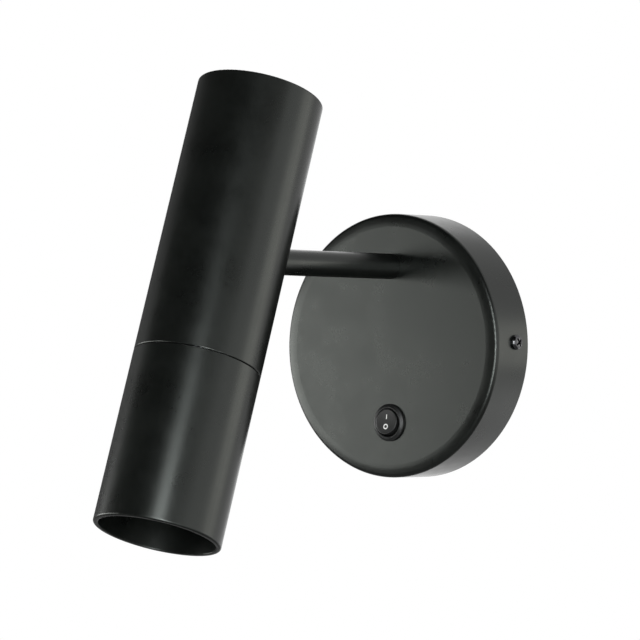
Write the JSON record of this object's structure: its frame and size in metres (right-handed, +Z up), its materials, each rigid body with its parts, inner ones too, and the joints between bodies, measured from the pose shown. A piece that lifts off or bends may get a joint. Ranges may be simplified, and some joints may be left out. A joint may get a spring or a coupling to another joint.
{
  "type": "tube wall light",
  "caption": "Wall reading light: a round canopy with a rocker switch, a straight arm that turns in it, and a long tube head that tilts and throws a reflector lamp's light downwards.",
  "frame": {"origin": "centre of the wall bracket's back face, on the wall, which is also the centre of the canopy's open back", "axes": "+X to the right of someone who faces the wall, +Y into the wall, so the arm and tube stand out along -Y, +Z up"},
  "size_m": [0.1246, 0.2126, 0.2103],
  "materials": {
    "black_paint": "satin",
    "tube_paint": "satin",
    "black_plastic": "satin",
    "mark_white": "matte",
    "black_screw": "satin",
    "zinc_steel": "satin",
    "brass": "satin",
    "bush_rubber": "matte",
    "white_nylon": "satin",
    "brake_fibre": "matte",
    "holder_ceramic": "matte",
    "sleeve_aluminium": "satin",
    "lamp_shell": "satin",
    "lamp_glass": "satin",
    "pin_chrome": "polished",
    "brown_sheath": "satin",
    "black_sheath": "satin",
    "blue_sheath": "satin",
    "green_sheath": "satin",
    "white_sleeving": "matte"
  },
  "bodies": {
    "base": {"canopy": "black_paint", "wall_bracket": "zinc_steel", "side_screws": "black_screw", "entry_bush": "bush_rubber", "terminal_block": "white_nylon", "terminal_screws": "brass", "block_screw": "zinc_steel", "earth_screw": "brass", "earth_tag": "brass", "live_lead": "brown_sheath", "switched_lead": "black_sheath", "neutral_lead": "blue_sheath", "earth_lead": "green_sheath", "stop_stud": "zinc_steel", "switch_body": "black_plastic", "switch_terminals": "brass"},
    "arm": {"arm_tube": "black_paint", "arm_nipple": "zinc_steel", "friction_washer": "white_nylon", "stop_washer": "zinc_steel", "spring_washer": "zinc_steel", "lock_nut": "zinc_steel", "tilt_knuckle": "zinc_steel", "arm_flex": "black_sheath"},
    "head": {"upper_tube": "tube_paint", "top_stud": "zinc_steel", "frame_nut": "zinc_steel", "head_frame": "zinc_steel", "pivot_bolt": "zinc_steel", "pivot_nut": "zinc_steel", "brake_washers": "brake_fibre", "holder_plate": "zinc_steel", "plate_screws": "zinc_steel", "lampholder": "holder_ceramic", "lampholder_contacts": "brass", "holder_screws": "zinc_steel", "lamp_leads": "white_sleeving", "joint_sleeve": "sleeve_aluminium", "sleeve_screws": "zinc_steel", "grip_ring": "zinc_steel"},
    "lower_tube": {"lower_tube": "tube_paint"},
    "lamp": {"lamp_cap": "lamp_shell", "lamp_pins": "pin_chrome", "lamp_body": "lamp_shell", "lamp_lens": "lamp_glass"},
    "rocker": {"rocker": "black_plastic", "rocker_marks": "mark_white"}
  },
  "joints": [
    {"name": "arm_turn", "type": "hinge", "parent": "base", "child": "arm", "pos_m": [0, -0.024, 0.036], "axis": [0, -1, 0], "range_deg": [-160, 160]},
    {"name": "head_tilt", "type": "hinge", "parent": "arm", "child": "head", "pos_m": [0, -0.1435, 0.036], "axis": [-1, 0, 0], "range_deg": [-20, 30]},
    {"name": "lower_tube_slide", "type": "slide", "parent": "head", "child": "lower_tube", "axis": [0, -0.342, -0.9397], "range_m": [0, 0.012]},
    {"name": "lamp_twist", "type": "hinge", "parent": "head", "child": "lamp", "pos_m": [0, -0.1435, 0.036], "axis": [0, -0.342, -0.9397], "range_deg": [0, 20]},
    {"name": "rocker_press", "type": "hinge", "parent": "base", "child": "rocker", "pos_m": [0, -0.0238, -0.035], "axis": [1, 0, 0], "range_deg": [0, 18]}
  ]
}
